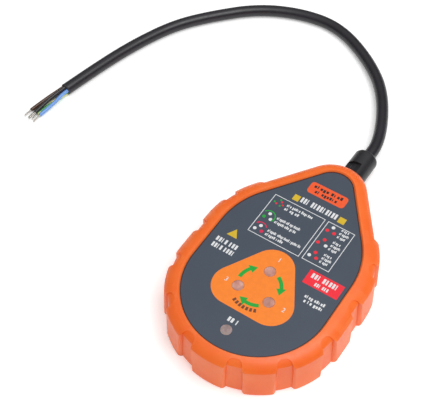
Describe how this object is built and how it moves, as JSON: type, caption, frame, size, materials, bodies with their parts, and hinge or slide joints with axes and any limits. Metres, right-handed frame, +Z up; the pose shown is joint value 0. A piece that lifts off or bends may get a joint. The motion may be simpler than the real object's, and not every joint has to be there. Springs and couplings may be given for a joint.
{
  "type": "phase rotation tester",
  "caption": "Teardrop hand-held phase-rotation tester: lobed orange case, slate face label with lamp windows, cable gland at the tip and a short lead with bare cores.",
  "frame": {"origin": "on the resting plane, below the middle of the box of the body and gland, without the lead", "axes": "+Z up out of the label, +Y from the grip end to the cable gland, +X to the right when the label is read with the gland at the top"},
  "size_m": [0.2637, 0.2816, 0.0275],
  "materials": {
    "orange_shell": "fine-grained ABS",
    "orange_cover": "fine-grained ABS",
    "slate_label": "satin printed polycarbonate",
    "mauve_lens": "frosted translucent polycarbonate",
    "clear_lamp": "clear epoxy",
    "green_board": "solder mask",
    "black_plastic": "moulded epoxy",
    "grey_plastic": "moulded nylon",
    "blue_ceramic": "epoxy-dipped ceramic",
    "tan_ceramic": "lacquered ceramic",
    "nickel": "nickel plate",
    "zinc_steel": "bright zinc plate",
    "black_nylon": "moulded nylon, semi-matt",
    "black_rubber": "matt",
    "black_sheath": "smooth PVC, soft sheen",
    "brown_core": "PVC",
    "black_core": "PVC",
    "grey_core": "PVC",
    "blue_core": "PVC",
    "earth_core": "PVC, green with a yellow stripe",
    "tinned_copper": "solder-tinned strands"
  },
  "bodies": {
    "root": {"front_shell": "orange_shell", "rear_cover": "orange_cover", "case_gasket": "black_rubber", "case_screws": "zinc_steel", "face_label": "slate_label", "phase_1_window": "mauve_lens", "phase_2_window": "mauve_lens", "phase_3_window": "mauve_lens", "polarity_window": "mauve_lens", "circuit_board": "green_board", "board_screws": "zinc_steel", "phase_1_lamp": "clear_lamp", "phase_2_lamp": "clear_lamp", "phase_3_lamp": "clear_lamp", "polarity_lamp": "clear_lamp", "piezo_sounder": "black_plastic", "microcontroller": "black_plastic", "chip_resistors": "black_plastic", "surge_varistors": "blue_ceramic", "input_fuses": "nickel", "input_resistors": "tan_ceramic", "bridge_rectifiers": "black_plastic", "smoothing_capacitor": "nickel", "terminal_block": "grey_plastic", "terminal_screws": "zinc_steel", "core_tails": "grey_core", "gland_washer": "black_rubber", "gland_body": "black_nylon", "lead_sheath": "black_sheath", "core_earth": "earth_core", "strands_earth": "tinned_copper", "core_black": "black_core", "strands_black": "tinned_copper", "core_brown": "brown_core", "strands_brown": "tinned_copper", "core_grey": "grey_core", "strands_grey": "tinned_copper", "core_blue": "blue_core", "strands_blue": "tinned_copper"},
    "gland_clamp": {"gland_insert": "black_rubber"},
    "gland_nut": {"gland_nut": "black_nylon"}
  },
  "joints": [
    {"name": "insert_slide", "type": "slide", "parent": "root", "child": "gland_clamp", "axis": [0, 1, 0], "range_m": [0, 0.003]},
    {"name": "nut_turn", "type": "hinge", "parent": "gland_clamp", "child": "gland_nut", "pos_m": [0, 0.075, 0.0078], "axis": [0, 1, 0], "range_deg": [0, 720]}
  ],
  "couplings": [
    {"joint": "nut_turn", "follows": "insert_slide", "rad_per_m": 4188.8}
  ]
}
